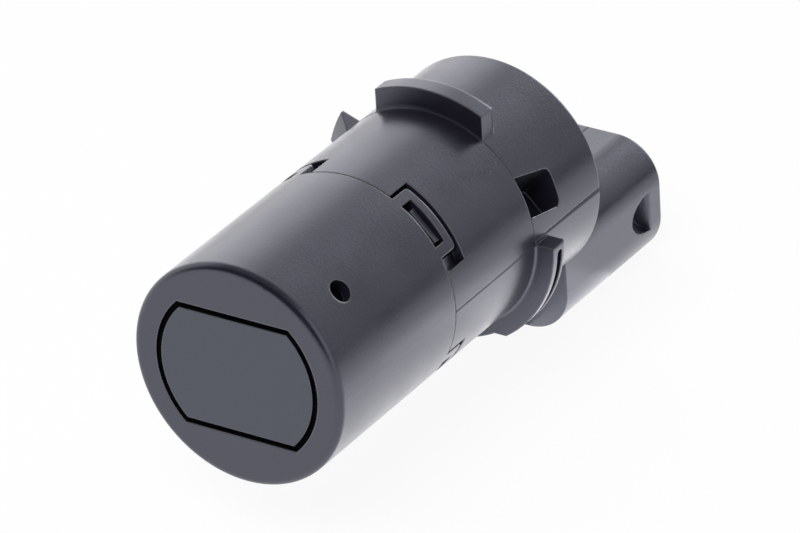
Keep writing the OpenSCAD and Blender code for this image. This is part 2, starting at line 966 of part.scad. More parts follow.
front_sleeve();
membrane_cup();
decoupling_ring();
piezo_disc();
damping_pad();
transducer_carrier();
signal_wire();
ground_wire();
signal_pin();
ground_pin();
seal_ring();
main_housing();
circuit_board();
core_lower();
core_upper();
transformer_bobbin();
transformer_winding();
transformer_pins();
control_chip();
chip_leads();
storage_capacitor();
tuning_capacitor();
ceramic_capacitors();
resistors();
oscillator();
diodes();
supply_terminal();
data_terminal();
earth_terminal();
potting_pool();
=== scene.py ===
import math

import bmesh
import bpy
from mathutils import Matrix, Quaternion, Vector


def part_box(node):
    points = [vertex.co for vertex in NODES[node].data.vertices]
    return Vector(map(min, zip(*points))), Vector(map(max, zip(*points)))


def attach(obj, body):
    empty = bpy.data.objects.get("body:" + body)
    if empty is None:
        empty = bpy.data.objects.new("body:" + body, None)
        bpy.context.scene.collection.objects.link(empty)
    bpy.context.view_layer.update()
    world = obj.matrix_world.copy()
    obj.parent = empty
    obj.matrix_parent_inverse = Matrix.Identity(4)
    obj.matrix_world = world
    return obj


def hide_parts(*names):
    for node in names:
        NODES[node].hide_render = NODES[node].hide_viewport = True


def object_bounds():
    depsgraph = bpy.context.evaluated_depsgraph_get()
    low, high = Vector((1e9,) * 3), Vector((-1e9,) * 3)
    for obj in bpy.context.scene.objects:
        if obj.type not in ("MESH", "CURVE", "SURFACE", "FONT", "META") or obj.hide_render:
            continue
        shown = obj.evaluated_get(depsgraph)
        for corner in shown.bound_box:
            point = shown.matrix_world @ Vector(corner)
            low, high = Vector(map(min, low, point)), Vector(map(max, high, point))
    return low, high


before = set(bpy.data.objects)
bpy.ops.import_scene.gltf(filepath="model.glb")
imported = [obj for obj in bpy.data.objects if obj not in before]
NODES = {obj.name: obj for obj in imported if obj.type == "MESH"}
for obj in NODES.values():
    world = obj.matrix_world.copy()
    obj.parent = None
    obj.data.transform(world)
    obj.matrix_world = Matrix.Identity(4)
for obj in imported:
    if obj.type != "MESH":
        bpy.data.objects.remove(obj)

bl_info = {
    "name": "Parking sensor looks",
    "version": (1, 0, 0),
    "blender": (4, 5, 0),
    "location": "View3D > Sidebar > Sensor",
    "description": "Finishes and small pieces of an ultrasonic parking sensor, with its studio",
    "category": "Object",
}

MM = 0.001
BODY = "root"
CAD_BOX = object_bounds()

# The gap round the membrane: its width, its depth, how far its lining stays below the face, and the lining's play
GAP_WIDTH, GAP_DEPTH, GAP_LIP, GAP_PLAY = 0.64 * MM, 0.45 * MM, 0.06 * MM, 0.01 * MM

# Moulded plastic: how much its patches change its colour and its roughness, how much smoother rub marks and edges are,
# the share of the painted highlight along the outer edges, the dust's share and how pale it is, and the roughness of
# its sheen
PATCH_TONE, PATCH_ROUGHNESS = 0.06, 0.02
RUB_SHINE, EDGE_SHINE = 0.02, 0.1
EDGE_HIGHLIGHT_SHARE, DUST_SHARE, DUST_LIGHT = 0.7, 0.04, 0.1
SHEEN_ROUGHNESS = 0.35

# Stage: the floor's reach, its gap below the object, its share of plain white and the height of the lit table over it;
# the camera's film width in millimetres, and the nearest and furthest that it sees
FLOOR_REACH, FLOOR_DROP, FLOOR_WHITE, TABLE_LIFT = 3.0, 0.02 * MM, 0.93, 0.1 * MM
FILM_WIDTH, NEAREST, FURTHEST = 36, 0.05, 20


# Node tools

def add(tree, kind, settings=None, **inputs):
    """Adds a node; each input is a value or a socket to join, with _ for a space in its name."""
    made = tree.nodes.new(kind)
    for name, value in (settings or {}).items():
        setattr(made, name, value)
    for name, value in inputs.items():
        put(tree, made.inputs[name.replace("_", " ")], value)
    return made


def put(tree, socket, value):
    """Joins a socket to another one, or sets its own value."""
    if isinstance(value, bpy.types.NodeSocket):
        tree.links.new(value, socket)
    else:
        socket.default_value = value


def maths(tree, operation, a, b=None, clamp=False):
    """A Math node's result."""
    made = tree.nodes.new("ShaderNodeMath")
    made.operation = operation
    made.use_clamp = clamp
    put(tree, made.inputs[0], a)
    if b is not None:
        put(tree, made.inputs[1], b)
    return made.outputs[0]


def ramped(tree, value, low, high, to_low=0.0, to_high=1.0):
    """A value carried from one range to another, with a soft start and end."""
    made = add(tree, "ShaderNodeMapRange", {"interpolation_type": "SMOOTHSTEP"}, Value=value)
    for name, number in (("From Min", low), ("From Max", high), ("To Min", to_low), ("To Max", to_high)):
        made.inputs[name].default_value = number
    return made.outputs["Result"]


def blended(tree, share, a, b):
    """A colour between two others."""
    made = tree.nodes.new("ShaderNodeMix")
    made.data_type = "RGBA"
    put(tree, made.inputs["Factor"], share)
    colours = [s for s in made.inputs if s.type == "RGBA"]
    put(tree, colours[0], a)
    put(tree, colours[1], b)
    return next(s for s in made.outputs if s.type == "RGBA")


def group_tree(name, inputs, outputs):
    """A shader group with named sockets: its tree, its input sockets and its output node."""
    tree = bpy.data.node_groups.new(name, "ShaderNodeTree")
    for label, kind, value in inputs:
        socket = tree.interface.new_socket(label, in_out="INPUT", socket_type=kind)
        if value is not None:
            socket.default_value = value
    for label, kind in outputs:
        tree.interface.new_socket(label, in_out="OUTPUT", socket_type=kind)
    return tree, tree.nodes.new("NodeGroupInput").outputs, tree.nodes.new("NodeGroupOutput").inputs


FLOAT = "NodeSocketFloat"
VECTOR = "NodeSocketVector"


def moulded_grain_group():
    """Fine spark-eroded mould grain: its height, and patches that are a little duller."""
    tree, given, out = group_tree(
        "moulded_grain",
        [("Vector", VECTOR, None), ("Grain Size", FLOAT, 0.2 * MM), ("Patch Size", FLOAT, 6 * MM)],
        [("Height", FLOAT), ("Patches", FLOAT)],
    )
    per_grain = maths(tree, "DIVIDE", 1.0, given["Grain Size"])
    pits = add(tree, "ShaderNodeTexNoise", Vector=given["Vector"], Scale=per_grain, Detail=2.0, Roughness=0.6)
    cells = add(tree, "ShaderNodeTexVoronoi", {"feature": "SMOOTH_F1"}, Vector=given["Vector"],
                Scale=maths(tree, "MULTIPLY", per_grain, 0.62), Smoothness=0.6)
    height = maths(tree, "ADD", maths(tree, "MULTIPLY", pits.outputs["Fac"], 0.65),
                   maths(tree, "MULTIPLY", cells.outputs["Distance"], 0.35))
    patches = add(tree, "ShaderNodeTexNoise", Vector=given["Vector"], Detail=3.0,
                  Scale=maths(tree, "DIVIDE", 1.0, given["Patch Size"]))
    tree.links.new(height, out["Height"])
    tree.links.new(ramped(tree, patches.outputs["Fac"], 0.3, 0.7), out["Patches"])
    return tree


def broken_edge_group():
    """Edges with a small round that catches the light: the rounded normal, and a mask along the outer edges."""
    tree, given, out = group_tree(
        "broken_edge", [("Radius", FLOAT, 0.12 * MM)], [("Normal", VECTOR), ("Mask", FLOAT)])
    rounded = add(tree, "ShaderNodeBevel", {"samples": 6}, Radius=given["Radius"])
    flat = tree.nodes.new("ShaderNodeNewGeometry").outputs["Normal"]
    along = add(tree, "ShaderNodeVectorMath", {"operation": "DOT_PRODUCT"})
    tree.links.new(rounded.outputs["Normal"], along.inputs[0])
    tree.links.new(flat, along.inputs[1])
    open_side = add(tree, "ShaderNodeAmbientOcclusion", {"samples": 4, "only_local": True}, Distance=0.5 * MM)
    outer = ramped(tree, open_side.outputs["AO"], 0.6, 0.9)
    tree.links.new(rounded.outputs["Normal"], out["Normal"])
    tree.links.new(maths(tree, "MULTIPLY", ramped(tree, along.outputs["Value"], 0.995, 0.8), outer), out["Mask"])
    return tree


def handling_dust_group():
    """Sparse light specks and faint rub marks, as on a part that has been handled."""
    tree, given, out = group_tree(
        "handling_dust", [("Vector", VECTOR, None), ("Speck Size", FLOAT, 0.6 * MM)],
        [("Specks", FLOAT), ("Rubs", FLOAT)])
    specks = add(tree, "ShaderNodeTexVoronoi", {"feature": "F1"}, Vector=given["Vector"],
                 Scale=maths(tree, "DIVIDE", 1.0, given["Speck Size"]), Randomness=1.0)
    chosen = add(tree, "ShaderNodeSeparateColor", Color=specks.outputs["Color"])
    few = ramped(tree, chosen.outputs["Red"], 0.965, 0.98)
    small = ramped(tree, specks.outputs["Distance"], 0.16, 0.07)
    stretched = add(tree, "ShaderNodeMapping", Vector=given["Vector"], Scale=(300.0, 40.0, 300.0))
    rubs = add(tree, "ShaderNodeTexNoise", Vector=stretched.outputs["Vector"], Scale=1.0, Detail=4.0)
    tree.links.new(maths(tree, "MULTIPLY", few, small), out["Specks"])
    tree.links.new(ramped(tree, rubs.outputs["Fac"], 0.52, 0.75), out["Rubs"])
    return tree


GROUPS = {"moulded_grain": moulded_grain_group, "broken_edge": broken_edge_group,
          "handling_dust": handling_dust_group}


def group(tree, name, **inputs):
    """Places a shared shader group in a material."""
    made = tree.nodes.new("ShaderNodeGroup")
    made.node_tree = bpy.data.node_groups.get(name) or GROUPS[name]()
    for label, value in inputs.items():
        put(tree, made.inputs[label.replace("_", " ")], value)
    return made.outputs


def start_material(name):
    """A new material: itself, its tree, its Principled shader and its Object coordinates."""
    made = bpy.data.materials.new(name)
    made.use_nodes = True
    tree = made.node_tree
    shader = tree.nodes["Principled BSDF"]
    place = tree.nodes.new("ShaderNodeTexCoord").outputs["Object"]
    return made, tree, shader, place


def rgba(colour):
    return (*colour[:3], 1.0)


def scaled(colour, share):
    """A colour made darker or lighter by a factor."""
    return rgba([c * share for c in colour[:3]])


def lighter(colour, share):
    """A colour carried part of the way to white."""
    return tuple(c + (1 - c) * share for c in colour[:3])


def moulded_plastic(name, colour, roughness=0.45, grain=0.2, depth=0.018, edge=0.12, sheen=0.0, painted_edge_highlight=0.09,
                    gloss=0.5, tint=(1, 1, 1), index=1.5):
    """Textured moulded plastic; grain, depth and edge are in millimetres."""
    made, tree, shader, place = start_material(name)
    texture = group(tree, "moulded_grain", Vector=place, Grain_Size=grain * MM)
    edges = group(tree, "broken_edge", Radius=edge * MM)
    dust = group(tree, "handling_dust", Vector=place)
    toned = blended(tree, texture["Patches"], scaled(colour, 1 - PATCH_TONE), scaled(colour, 1 + PATCH_TONE))
    # The outer edges are lightened in colour: a painted highlight along the rounded edges
    edge_highlighted = blended(tree, maths(tree, "MULTIPLY", edges["Mask"], EDGE_HIGHLIGHT_SHARE), toned, rgba(lighter(colour, painted_edge_highlight)))
    dusty = blended(tree, maths(tree, "MULTIPLY", dust["Specks"], DUST_SHARE), edge_highlighted, rgba(lighter(colour, DUST_LIGHT)))
    put(tree, shader.inputs["Base Color"], dusty)
    dull = ramped(tree, texture["Patches"], 0.0, 1.0, roughness - PATCH_ROUGHNESS, roughness + PATCH_ROUGHNESS)
    rubbed = maths(tree, "SUBTRACT", dull, maths(tree, "MULTIPLY", dust["Rubs"], RUB_SHINE))
    put(tree, shader.inputs["Roughness"],
        maths(tree, "SUBTRACT", rubbed, maths(tree, "MULTIPLY", edges["Mask"], EDGE_SHINE)))
    shader.inputs["Sheen Weight"].default_value = sheen
    shader.inputs["Sheen Roughness"].default_value = SHEEN_ROUGHNESS
    shader.inputs["IOR"].default_value = index
    shader.inputs["Specular IOR Level"].default_value = gloss
    shader.inputs["Specular Tint"].default_value = rgba(tint)
    bump = add(tree, "ShaderNodeBump", Height=texture["Height"], Normal=edges["Normal"], Distance=depth * MM,
               Strength=1.0)
    put(tree, shader.inputs["Normal"], bump.outputs["Normal"])
    return made


def soft_rubber(name, colour, roughness=0.8, gloss=0.3):
    """Matt rubber or silicone with a faint bloom."""
    made, tree, shader, place = start_material(name)
    texture = group(tree, "moulded_grain", Vector=place, Grain_Size=0.3 * MM, Patch_Size=3 * MM)
    put(tree, shader.inputs["Base Color"],
        blended(tree, texture["Patches"], scaled(colour, 0.7), scaled(colour, 1.3)))
    put(tree, shader.inputs["Roughness"],
        ramped(tree, texture["Patches"], 0.0, 1.0, roughness - 0.06, roughness + 0.06))
    shader.inputs["Specular IOR Level"].default_value = gloss
    bump = add(tree, "ShaderNodeBump", Height=texture["Height"], Distance=0.01 * MM)
    put(tree, shader.inputs["Normal"], bump.outputs["Normal"])
    return made


def plated_metal(name, colour, roughness=0.3, streak=(900.0, 120.0, 900.0), tarnish=0.35):
    """Drawn and plated metal with fine streaks along its length and a little tarnish."""
    made, tree, shader, place = start_material(name)
    lines = add(tree, "ShaderNodeMapping", Vector=place, Scale=tuple(s * 6 for s in streak))
    drawn = add(tree, "ShaderNodeTexNoise", Vector=lines.outputs["Vector"], Scale=1.0, Detail=3.0)
    clouds = add(tree, "ShaderNodeTexNoise", Vector=place, Scale=700.0, Detail=3.0)
    edges = group(tree, "broken_edge", Radius=0.06 * MM)
    shade = maths(tree, "MULTIPLY", ramped(tree, clouds.outputs["Fac"], 0.42, 0.7), tarnish)
    put(tree, shader.inputs["Base Color"], blended(tree, shade, rgba(colour), scaled(colour, 0.62)))
    put(tree, shader.inputs["Roughness"],
        ramped(tree, drawn.outputs["Fac"], 0.3, 0.7, roughness - 0.08, roughness + 0.1))
    shader.inputs["Metallic"].default_value = 1.0
    bump = add(tree, "ShaderNodeBump", Height=drawn.outputs["Fac"], Normal=edges["Normal"], Distance=0.003 * MM)
    put(tree, shader.inputs["Normal"], bump.outputs["Normal"])
    return made


def fired_ceramic(name, colour, roughness=0.5, speckle=0.25):
    """Fired or sintered ceramic with a fine speckle."""
    made, tree, shader, place = start_material(name)
    texture = group(tree, "moulded_grain", Vector=place, Grain_Size=0.12 * MM, Patch_Size=2 * MM)
    edges = group(tree, "broken_edge", Radius=0.05 * MM)
    dots = ramped(tree, texture["Height"], 0.35, 0.6)
    put(tree, shader.inputs["Base Color"],
        blended(tree, maths(tree, "MULTIPLY", dots, speckle), rgba(colour), scaled(colour, 0.5)))
    put(tree, shader.inputs["Roughness"],
        ramped(tree, texture["Patches"], 0.0, 1.0, roughness - 0.08, roughness + 0.08))
    bump = add(tree, "ShaderNodeBump", Height=texture["Height"], Normal=edges["Normal"], Distance=0.006 * MM)
    put(tree, shader.inputs["Normal"], bump.outputs["Normal"])
    return made


def board_resist(name, colour):
    """Green solder resist over woven glass, with the copper tracks showing through it."""
    made, tree, shader, place = start_material(name)
    flat = add(tree, "ShaderNodeMapping", Vector=place, Scale=(1000.0, 1000.0, 1000.0)).outputs["Vector"]
    tracks = add(tree, "ShaderNodeTexBrick", {"offset": 0.37, "squash": 1.0}, Vector=flat, Scale=0.55,
                 Color1=(0, 0, 0, 1), Color2=(1, 1, 1, 1), Mortar=(1, 1, 1, 1), Mortar_Size=0.09)
    covered = blended(tree, maths(tree, "MULTIPLY", tracks.outputs["Fac"], 0.55), rgba(colour),
                      rgba((colour[0] * 1.7, colour[1] * 1.45, colour[2] * 1.3)))
    weave = add(tree, "ShaderNodeTexWave", {"wave_type": "BANDS"}, Vector=flat, Scale=1.6, Distortion=0.4)
    put(tree, shader.inputs["Base Color"],
        blended(tree, maths(tree, "MULTIPLY", weave.outputs["Fac"], 0.12), covered, scaled(colour, 0.7)))
    put(tree, shader.inputs["Roughness"], ramped(tree, weave.outputs["Fac"], 0.0, 1.0, 0.28, 0.36))
    bump = add(tree, "ShaderNodeBump", Height=tracks.outputs["Fac"], Distance=0.02 * MM)
    put(tree, shader.inputs["Normal"], bump.outputs["Normal"])
    return made


def cell_foam(name, colour):
    """Open-cell damping foam."""
    made, tree, shader, place = start_material(name)
    cells = add(tree, "ShaderNodeTexVoronoi", {"feature": "DISTANCE_TO_EDGE"}, Vector=place, Scale=1 / (0.45 * MM))
    walls = ramped(tree, cells.outputs["Distance"], 0.03, 0.22)
    # The middles of the cells, where the pores sink, are painted darker: painted shade in the pores
    put(tree, shader.inputs["Base Color"], blended(tree, walls, rgba(colour), scaled(colour, 0.45)))
    put(tree, shader.inputs["Roughness"], ramped(tree, walls, 0.0, 1.0, 0.8, 0.95))
    bump = add(tree, "ShaderNodeBump", {"invert": True}, Height=walls, Distance=0.12 * MM)
    put(tree, shader.inputs["Normal"], bump.outputs["Normal"])
    return made


def cast_resin(name, colour):
    """Poured sealing resin: smooth, with a slow wave and small bubbles."""
    made, tree, shader, place = start_material(name)
    wave = add(tree, "ShaderNodeTexNoise", Vector=place, Scale=260.0, Detail=2.0)
    bubbles = add(tree, "ShaderNodeTexVoronoi", {"feature": "F1"}, Vector=place, Scale=1100.0)
    spots = ramped(tree, bubbles.outputs["Distance"], 0.2, 0.08)
    put(tree, shader.inputs["Base Color"],
        blended(tree, maths(tree, "MULTIPLY", spots, 0.5), rgba(colour), rgba(lighter(colour, 0.12))))
    put(tree, shader.inputs["Roughness"], ramped(tree, wave.outputs["Fac"], 0.3, 0.7, 0.12, 0.24))
    height = maths(tree, "SUBTRACT", maths(tree, "MULTIPLY", wave.outputs["Fac"], 3.0), spots)
    bump = add(tree, "ShaderNodeBump", Height=height, Distance=0.03 * MM)
    put(tree, shader.inputs["Normal"], bump.outputs["Normal"])
    return made


def enamelled_wire(name, colour):
    """Copper wire under clear enamel, a little darker in places."""
    made, tree, shader, place = start_material(name)
    clouds = add(tree, "ShaderNodeTexNoise", Vector=place, Scale=900.0, Detail=2.0)
    shade = ramped(tree, clouds.outputs["Fac"], 0.35, 0.65)
    put(tree, shader.inputs["Base Color"], blended(tree, shade, rgba(colour), scaled(colour, 0.6)))
    put(tree, shader.inputs["Roughness"], ramped(tree, shade, 0.0, 1.0, 0.22, 0.36))
    shader.inputs["Metallic"].default_value = 0.9
    shader.inputs["Coat Weight"].default_value = 0.6
    return made


def wire_turns_tree():
    """Geometry Nodes for a coil of two layers: turns of round wire on a rectangle with round corners."""
    tree = bpy.data.node_groups.new("wire_turns", "GeometryNodeTree")
    for label, kind in (("Width", FLOAT), ("Depth", FLOAT), ("Wire", FLOAT), ("Corner", FLOAT),
                        ("Turns", "NodeSocketInt"), ("Enamel", "NodeSocketMaterial")):
        tree.interface.new_socket(label, in_out="INPUT", socket_type=kind)
    tree.interface.new_socket("Geometry", in_out="OUTPUT", socket_type="NodeSocketGeometry")
    given = tree.nodes.new("NodeGroupInput").outputs
    half_wire = maths(tree, "MULTIPLY", given["Wire"], 0.5)
    section = add(tree, "GeometryNodeCurvePrimitiveCircle", Resolution=10, Radius=half_wire).outputs["Curve"]
    step = add(tree, "ShaderNodeCombineXYZ", Z=given["Wire"]).outputs["Vector"]
    start_z = maths(tree, "MULTIPLY", maths(tree, "SUBTRACT", 1.0, given["Turns"]), half_wire)
    start = add(tree, "ShaderNodeCombineXYZ", Z=start_z).outputs["Vector"]
    heights = add(tree, "GeometryNodeMeshLine", Count=given["Turns"], Start_Location=start, Offset=step).outputs["Mesh"]
    joined = tree.nodes.new("GeometryNodeJoinGeometry")
    for layer in range(2):
        inset = maths(tree, "MULTIPLY", given["Wire"], 1.0 + 2.0 * layer)
        path = add(tree, "GeometryNodeCurvePrimitiveQuadrilateral",
                   Width=maths(tree, "SUBTRACT", given["Width"], inset),
                   Height=maths(tree, "SUBTRACT", given["Depth"], inset)).outputs["Curve"]
        bent = add(tree, "GeometryNodeFilletCurve", {"mode": "POLY"}, Curve=path, Count=5, Radius=given["Corner"])
        turn = add(tree, "GeometryNodeCurveToMesh", Curve=bent.outputs["Curve"], Profile_Curve=section)
        turns = add(tree, "GeometryNodeInstanceOnPoints", Points=heights, Instance=turn.outputs["Mesh"])
        tree.links.new(turns.outputs["Instances"], joined.inputs["Geometry"])
    solid = add(tree, "GeometryNodeRealizeInstances", Geometry=joined.outputs["Geometry"])
    smooth = add(tree, "GeometryNodeSetShadeSmooth", Geometry=solid.outputs["Geometry"])
    painted = add(tree, "GeometryNodeSetMaterial", Geometry=smooth.outputs["Geometry"], Material=given["Enamel"])
    tree.links.new(painted.outputs["Geometry"], tree.nodes.new("NodeGroupOutput").inputs["Geometry"])
    return tree


def grown(name, tree, inputs, place):
    """Runs a Geometry Nodes tree and keeps its result as a plain mesh at a place."""
    seed = bpy.data.objects.new(name + "_seed", bpy.data.meshes.new(name + "_seed"))
    bpy.context.scene.collection.objects.link(seed)
    modifier = seed.modifiers.new(name, "NODES")
    modifier.node_group = tree
    sockets = {s.name: s.identifier for s in tree.interface.items_tree if s.in_out == "INPUT"}
    for label, value in inputs.items():
        modifier[sockets[label]] = value
    seed.update_tag()
    view = bpy.context.evaluated_depsgraph_get()
    mesh = bpy.data.meshes.new_from_object(seed.evaluated_get(view))
    seed.modifiers.clear()
    bpy.data.objects.remove(seed)
    if not mesh.polygons:
        raise RuntimeError(name + " came out empty")
    for vertex in mesh.vertices:
        vertex.co += Vector(place)
    mesh.name = name
    made = bpy.data.objects.new(name, mesh)
    bpy.context.scene.collection.objects.link(made)
    return made


def flat_disc_loop(radius, flat, steps=48):
    """The outline of a disc with two level flats, as x and z, always with the same number of points."""
    reach = math.asin(flat / radius)
    angles = [-reach + 2 * reach * i / steps for i in range(steps + 1)]
    return [(radius * math.cos(a + turn), radius * math.sin(a + turn)) for turn in (0, math.pi) for a in angles]


def swept_band(name, profile, radius, flat, face):
    """A closed band round a flat disc; its profile gives how far out and how deep each corner is."""
    made = bpy.data.meshes.new(name)
    band = bmesh.new()
    loops = [[band.verts.new((x, face + deep, z)) for x, z in flat_disc_loop(radius + out, flat + out)]
             for out, deep in profile]
    for a, b in zip(loops, loops[1:] + loops[:1]):
        for i in range(len(a)):
            j = (i + 1) % len(a)
            band.faces.new((a[i], a[j], b[j], b[i]))
    bmesh.ops.recalc_face_normals(band, faces=band.faces)
    band.to_mesh(made)
    band.free()
    piece = bpy.data.objects.new(name, made)
    bpy.context.scene.collection.objects.link(piece)
    return piece


def dress(material, *nodes):
    """Gives CAD nodes a finished material."""
    for name in nodes:
        slots = NODES[name].data.materials
        slots.clear()
        slots.append(material)


class SensorFinish(bpy.types.PropertyGroup):
    """Colours and textures of the sensor"""
    shell_colour: bpy.props.FloatVectorProperty(
        name="Shell", description="Colour of the sleeve and the housing", subtype="COLOR", size=3,
        min=0, max=1, default=(0.0110, 0.0104, 0.0180))
    membrane_colour: bpy.props.FloatVectorProperty(
        name="Membrane", description="Colour of the painted membrane", subtype="COLOR", size=3,
        min=0, max=1, default=(0.0120, 0.0145, 0.0215))
    rubber_colour: bpy.props.FloatVectorProperty(
        name="Rubber", description="Colour of the soft gap and the seal", subtype="COLOR", size=3,
        min=0, max=1, default=(0.003, 0.003, 0.004))
    shell_roughness: bpy.props.FloatProperty(
        name="Shell roughness", description="How dull the plastic is", min=0.1, max=0.9, default=0.30)
    shell_sheen: bpy.props.FloatProperty(
        name="Shell sheen", description="Soft light at grazing angles on the textured plastic", min=0, max=1,
        default=0.05)
    shell_gloss: bpy.props.FloatProperty(
        name="Shell gloss", description="Specular level of the plastic's skin", min=0, max=1, default=1.0)
    shell_index: bpy.props.FloatProperty(
        name="Shell index", description="Refractive index of the plastic's skin", min=1.3, max=1.8, default=1.58)
    shell_tint: bpy.props.FloatVectorProperty(
        name="Shell tint", description="Colour of the plastic's gloss", subtype="COLOR", size=3,
        min=0, max=1, default=(0.80, 0.83, 1.0))
    edge_round: bpy.props.FloatProperty(
        name="Edge round", description="Round of the moulded edges, in millimetres", min=0.02, max=0.4, default=0.26)
    grain_size: bpy.props.FloatProperty(
        name="Grain size", description="Size of the mould grain, in millimetres", min=0.05, max=1, default=0.17)
    gap_skin: bpy.props.FloatProperty(
        name="Gap skin", description="Thickness of the silicone on the gap's walls, in millimetres", min=0.01, max=0.1,
        default=0.04)
    wire_size: bpy.props.FloatProperty(
        name="Wire size", description="Diameter of the coil's wire, in millimetres", min=0.1, max=0.45, default=0.35)


class SensorStudio(bpy.types.PropertyGroup):
    """Camera, floor and lamps"""
    camera_place: bpy.props.FloatVectorProperty(
        name="Camera place", description="Where the camera stands", subtype="TRANSLATION", size=3,
        default=(0.357689, -0.535144, 0.352872))
    camera_aim: bpy.props.FloatVectorProperty(
        name="Camera aim", description="The point in the middle of the picture", subtype="TRANSLATION", size=3,
        default=(-0.001501, -0.004431, -0.004103))
    camera_roll: bpy.props.FloatProperty(
        name="Camera roll", description="Turn of the camera about its line of sight", subtype="ANGLE",
        default=math.radians(-3.5975))
    camera_lens: bpy.props.FloatProperty(
        name="Camera lens", description="Focal length in millimetres", min=20, max=600, default=317.41)
    floor_colour: bpy.props.FloatVectorProperty(
        name="Floor", description="Colour of the floor", subtype="COLOR", size=3, min=0, max=1,
        default=(0.88, 0.88, 0.88))
    world_light: bpy.props.FloatProperty(
        name="World light", description="Strength of the light from all round", min=0, max=2, default=0.1)
    key_power: bpy.props.FloatProperty(
        name="Key lamp", description="Power of the large lamp above at the left", unit="POWER", min=0, max=50,
        default=2.34)
    side_power: bpy.props.FloatProperty(
        name="Side lamp", description="Power of the lamp at the back left", unit="POWER", min=0, max=50, default=0.68)
    back_power: bpy.props.FloatProperty(
        name="Back lamp", description="Power of the lamp behind the object", unit="POWER", min=0, max=50, default=1.92)
    front_power: bpy.props.FloatProperty(
        name="Front lamp", description="Power of the lamp above the camera", unit="POWER", min=0, max=50, default=5.9)
    table_power: bpy.props.FloatProperty(
        name="Table glow", description="Power of the lit table at the right of the object", unit="POWER", min=0, max=5,
        default=0.003)
    rear_power: bpy.props.FloatProperty(
        name="Rear glow", description="Power of the lit table beside the housing", unit="POWER", min=0, max=5,
        default=0.0027)
    socket_power: bpy.props.FloatProperty(
        name="Socket glow", description="Power of the lit table beside the plug socket", unit="POWER", min=0, max=5,
        default=0.0014)
    left_power: bpy.props.FloatProperty(
        name="Left glow", description="Power of the lit table behind the object at the left", unit="POWER", min=0,
        max=5, default=0.039)


def finish_of(context):
    return context.scene.sensor_finish


class SENSOR_OT_shell(bpy.types.Operator):
    """Finish the sleeve and the housing as satin moulded plastic"""
    bl_idname = "sensor.shell"
    bl_label = "Shell"

    def execute(self, context):
        look = finish_of(context)
        for name, node in (("sleeve_plastic", "front_sleeve"), ("housing_plastic", "main_housing")):
            dress(moulded_plastic(name, look.shell_colour, look.shell_roughness, look.grain_size,
                                  edge=look.edge_round, sheen=look.shell_sheen, painted_edge_highlight=0.16,
                                  gloss=look.shell_gloss, tint=look.shell_tint, index=look.shell_index), node)
        return {"FINISHED"}


class SENSOR_OT_sensing_unit(bpy.types.Operator):
    """Finish the membrane, its soft collar and what is bonded behind it"""
    bl_idname = "sensor.sensing_unit"
    bl_label = "Sensing unit"

    def execute(self, context):
        look = finish_of(context)
        dress(moulded_plastic("membrane_paint", look.membrane_colour, look.shell_roughness, grain=0.14, depth=0.012,
                              edge=0.16, sheen=look.shell_sheen, painted_edge_highlight=0.12, gloss=look.shell_gloss,
                              tint=look.shell_tint, index=look.shell_index), "membrane_cup")
        silicone = soft_rubber("black_silicone", look.rubber_colour, roughness=0.9, gloss=0.05)
        dress(silicone, "decoupling_ring")
        self.line_gap(look.gap_skin * MM, silicone)
        dress(soft_rubber("seal_rubber", (0.012, 0.012, 0.013), roughness=0.65), "seal_ring")
        dress(fired_ceramic("piezo_ceramic", (0.62, 0.57, 0.45), roughness=0.45, speckle=0.15), "piezo_disc")
        dress(cell_foam("foam", (0.48, 0.50, 0.52)), "damping_pad")
        dress(moulded_plastic("inner_plastic", (0.025, 0.026, 0.030), roughness=0.5, grain=0.25), "transducer_carrier",
              "transformer_bobbin")
        dress(plated_metal("copper", (0.72, 0.32, 0.16), roughness=0.28), "signal_wire", "ground_wire")
        dress(plated_metal("tinned_metal", (0.66, 0.66, 0.65), roughness=0.33), "signal_pin", "ground_pin",
              "transformer_pins", "chip_leads")
        return {"FINISHED"}

    def line_gap(self, skin, silicone):
        """Lines the walls and the floor of the gap round the membrane with a thin skin of silicone."""
        cup_low, cup_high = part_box("membrane_cup")
        inner, outer, bed = GAP_PLAY, GAP_WIDTH - GAP_PLAY, GAP_DEPTH - skin
        profile = [(outer, GAP_DEPTH), (outer, GAP_LIP), (outer - skin, GAP_LIP), (outer - skin, bed),
                   (inner + skin, bed), (inner + skin, GAP_LIP), (inner, GAP_LIP), (inner, GAP_DEPTH)]
        lining = swept_band("gap_lining", profile, cup_high[0], cup_high[2], cup_low[1])
        lining.data.materials.append(silicone)
        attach(lining, BODY)


class SENSOR_OT_electronics(bpy.types.Operator):
    """Finish the circuit board and its components"""
    bl_idname = "sensor.electronics"
    bl_label = "Electronics"

    def execute(self, context):
        dress(board_resist("board", (0.030, 0.105, 0.050)), "circuit_board")
        dress(fired_ceramic("ferrite", (0.045, 0.045, 0.048), roughness=0.55), "core_lower", "core_upper")
        dress(moulded_plastic("chip_plastic", (0.012, 0.012, 0.014), roughness=0.55, grain=0.1, depth=0.008,
                              edge=0.06), "control_chip", "diodes")
        dress(moulded_plastic("can", (0.06, 0.065, 0.075), roughness=0.3, grain=0.3, depth=0.002, edge=0.15),
              "storage_capacitor")
        dress(moulded_plastic("film_capacitor", (0.25, 0.035, 0.022), roughness=0.25, grain=0.8, depth=0.01,
                              edge=0.2), "tuning_capacitor")
        dress(fired_ceramic("capacitor_ceramic", (0.32, 0.20, 0.10), roughness=0.4), "ceramic_capacitors")
        dress(fired_ceramic("resistor_ceramic", (0.012, 0.012, 0.013), roughness=0.35, speckle=0.1), "resistors")
        dress(plated_metal("oscillator_can", (0.62, 0.63, 0.64), roughness=0.3), "oscillator")
        dress(cast_resin("resin", (0.035, 0.038, 0.043)), "potting_pool")
        return {"FINISHED"}


